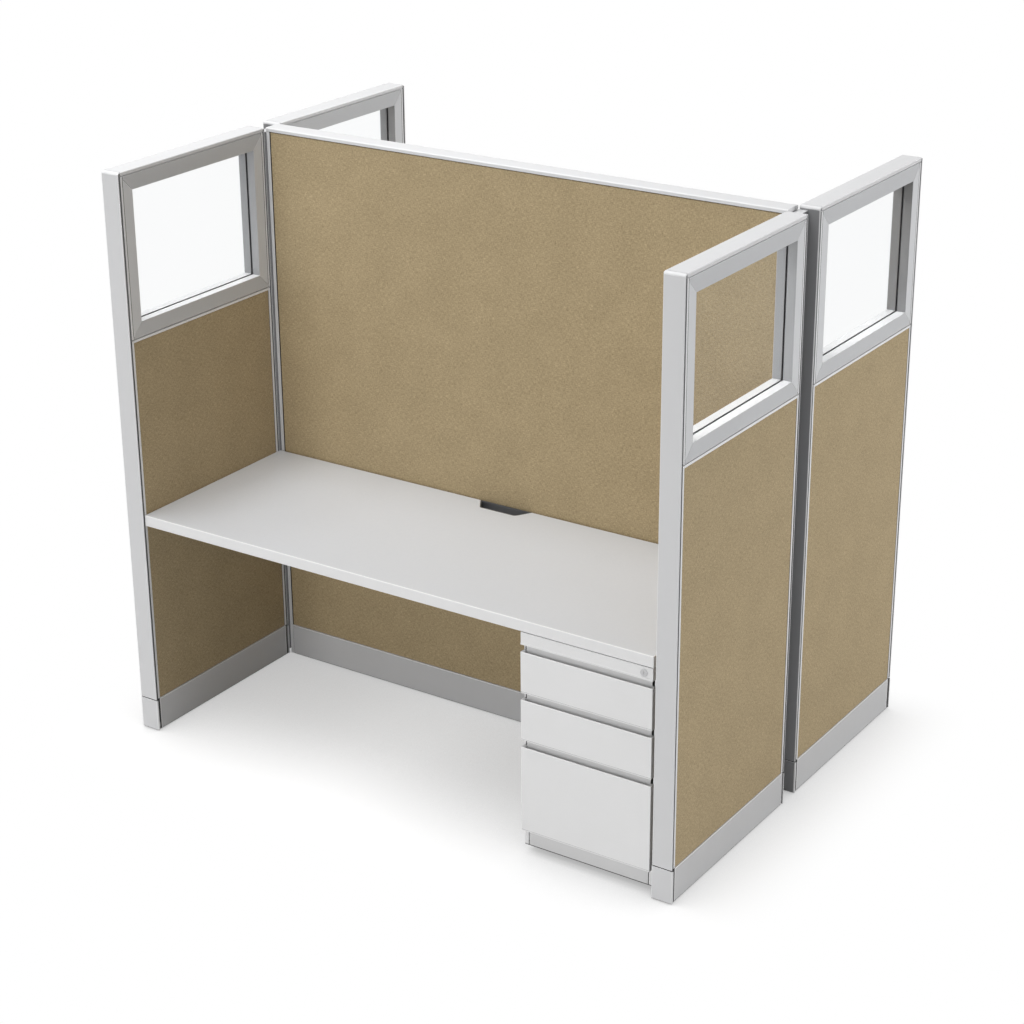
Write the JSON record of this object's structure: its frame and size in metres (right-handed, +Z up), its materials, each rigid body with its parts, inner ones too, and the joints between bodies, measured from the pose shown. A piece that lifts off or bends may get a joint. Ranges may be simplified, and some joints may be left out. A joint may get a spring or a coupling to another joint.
{
  "type": "cubicle workstation",
  "caption": "Back-to-back office cubicle with fabric and glass privacy panels, worksurfaces and lockable drawer pedestals.",
  "frame": {"origin": "on the floor below the centre of the spine panel", "axes": "+X along the spine to the front user's right, +Y from the front station to the rear one, +Z up"},
  "size_m": [1.962, 1.416, 1.829],
  "materials": {
    "light_trim": "satin",
    "window_grey": "satin",
    "raceway_grey": "satin",
    "tan_fabric": "matte",
    "clear_glass": "polished",
    "black_rubber": "matte",
    "black_plastic": "matte",
    "charcoal_plastic": "matte",
    "frame_steel": "satin",
    "post_grey": "matte",
    "zinc_steel": "satin",
    "white_laminate": "satin",
    "off_white_steel": "satin",
    "tub_steel": "satin",
    "lock_nickel": "polished"
  },
  "bodies": {
    "root": {"front_left_top_cap": "light_trim", "front_left_end_trims": "light_trim", "front_left_window_frame": "window_grey", "front_left_glass": "clear_glass", "front_left_tiles": "tan_fabric", "front_right_top_cap": "light_trim", "front_right_end_trims": "light_trim", "front_right_window_frame": "window_grey", "front_right_glass": "clear_glass", "front_right_tiles": "tan_fabric", "rear_left_top_cap": "light_trim", "rear_left_end_trims": "light_trim", "rear_left_window_frame": "window_grey", "rear_left_glass": "clear_glass", "rear_left_tiles": "tan_fabric", "rear_right_top_cap": "light_trim", "rear_right_end_trims": "light_trim", "rear_right_window_frame": "window_grey", "rear_right_glass": "clear_glass", "rear_right_tiles": "tan_fabric", "wing_frames": "frame_steel", "foot_covers": "light_trim", "edge_strips": "light_trim", "raceway_covers": "raceway_grey", "glazing_gaskets": "black_rubber", "levelling_glides": "black_plastic", "spine_frame": "frame_steel", "spine_top_cap": "light_trim", "spine_end_trims": "light_trim", "spine_front_tile": "tan_fabric", "spine_rear_tile": "tan_fabric", "junction_posts": "post_grey", "junction_bolts": "zinc_steel", "notch_liners": "charcoal_plastic", "cantilever_brackets": "frame_steel", "side_rails": "frame_steel", "worksurface_screws": "zinc_steel", "fixed_slides": "zinc_steel", "front_worksurface": "white_laminate", "front_pedestal_case": "off_white_steel", "rear_worksurface": "white_laminate", "rear_pedestal_case": "off_white_steel"},
    "front_upper_drawer": {"front_upper_drawer_front": "off_white_steel", "front_upper_drawer_tub": "tub_steel"},
    "front_lower_drawer": {"front_lower_drawer_front": "off_white_steel", "front_lower_drawer_tub": "tub_steel"},
    "front_file_drawer": {"front_file_drawer_front": "off_white_steel", "front_file_drawer_tub": "tub_steel"},
    "front_file_middle": {"front_file_middle_slides": "zinc_steel"},
    "front_plug": {"front_lock_plug": "lock_nickel"},
    "front_bar": {"front_lock_bar": "zinc_steel"},
    "rear_upper_drawer": {"rear_upper_drawer_front": "off_white_steel", "rear_upper_drawer_tub": "tub_steel"},
    "rear_lower_drawer": {"rear_lower_drawer_front": "off_white_steel", "rear_lower_drawer_tub": "tub_steel"},
    "rear_file_drawer": {"rear_file_drawer_front": "off_white_steel", "rear_file_drawer_tub": "tub_steel"},
    "rear_file_middle": {"rear_file_middle_slides": "zinc_steel"},
    "rear_plug": {"rear_lock_plug": "lock_nickel"},
    "rear_bar": {"rear_lock_bar": "zinc_steel"}
  },
  "joints": [
    {"name": "front_upper_drawer_slide", "type": "slide", "parent": "root", "child": "front_upper_drawer", "axis": [0, -1, 0], "range_m": [0, 0.38]},
    {"name": "front_lower_drawer_slide", "type": "slide", "parent": "root", "child": "front_lower_drawer", "axis": [0, -1, 0], "range_m": [0, 0.38]},
    {"name": "front_file_drawer_slide", "type": "slide", "parent": "root", "child": "front_file_drawer", "axis": [0, -1, 0], "range_m": [0, 0.5]},
    {"name": "front_file_middle_slide", "type": "slide", "parent": "root", "child": "front_file_middle", "axis": [0, -1, 0], "range_m": [0, 0.25]},
    {"name": "front_lock_turn", "type": "hinge", "parent": "root", "child": "front_plug", "pos_m": [0.874, -0.7, 0.693], "axis": [0, -1, 0], "range_deg": [0, 90]},
    {"name": "front_bar_slide", "type": "slide", "parent": "root", "child": "front_bar", "axis": [0, 0, 1], "range_m": [0, 0.012]},
    {"name": "rear_upper_drawer_slide", "type": "slide", "parent": "root", "child": "rear_upper_drawer", "axis": [0, 1, 0], "range_m": [0, 0.38]},
    {"name": "rear_lower_drawer_slide", "type": "slide", "parent": "root", "child": "rear_lower_drawer", "axis": [0, 1, 0], "range_m": [0, 0.38]},
    {"name": "rear_file_drawer_slide", "type": "slide", "parent": "root", "child": "rear_file_drawer", "axis": [0, 1, 0], "range_m": [0, 0.5]},
    {"name": "rear_file_middle_slide", "type": "slide", "parent": "root", "child": "rear_file_middle", "axis": [0, 1, 0], "range_m": [0, 0.25]},
    {"name": "rear_lock_turn", "type": "hinge", "parent": "root", "child": "rear_plug", "pos_m": [-0.874, 0.7, 0.693], "axis": [0, 1, 0], "range_deg": [0, 90]},
    {"name": "rear_bar_slide", "type": "slide", "parent": "root", "child": "rear_bar", "axis": [0, 0, 1], "range_m": [0, 0.012]}
  ],
  "couplings": [
    {"joint": "front_file_middle_slide", "follows": "front_file_drawer_slide", "ratio": 0.5},
    {"joint": "front_lock_turn", "follows": "front_bar_slide", "rad_per_m": 130.9},
    {"joint": "rear_file_middle_slide", "follows": "rear_file_drawer_slide", "ratio": 0.5},
    {"joint": "rear_lock_turn", "follows": "rear_bar_slide", "rad_per_m": 130.9}
  ]
}
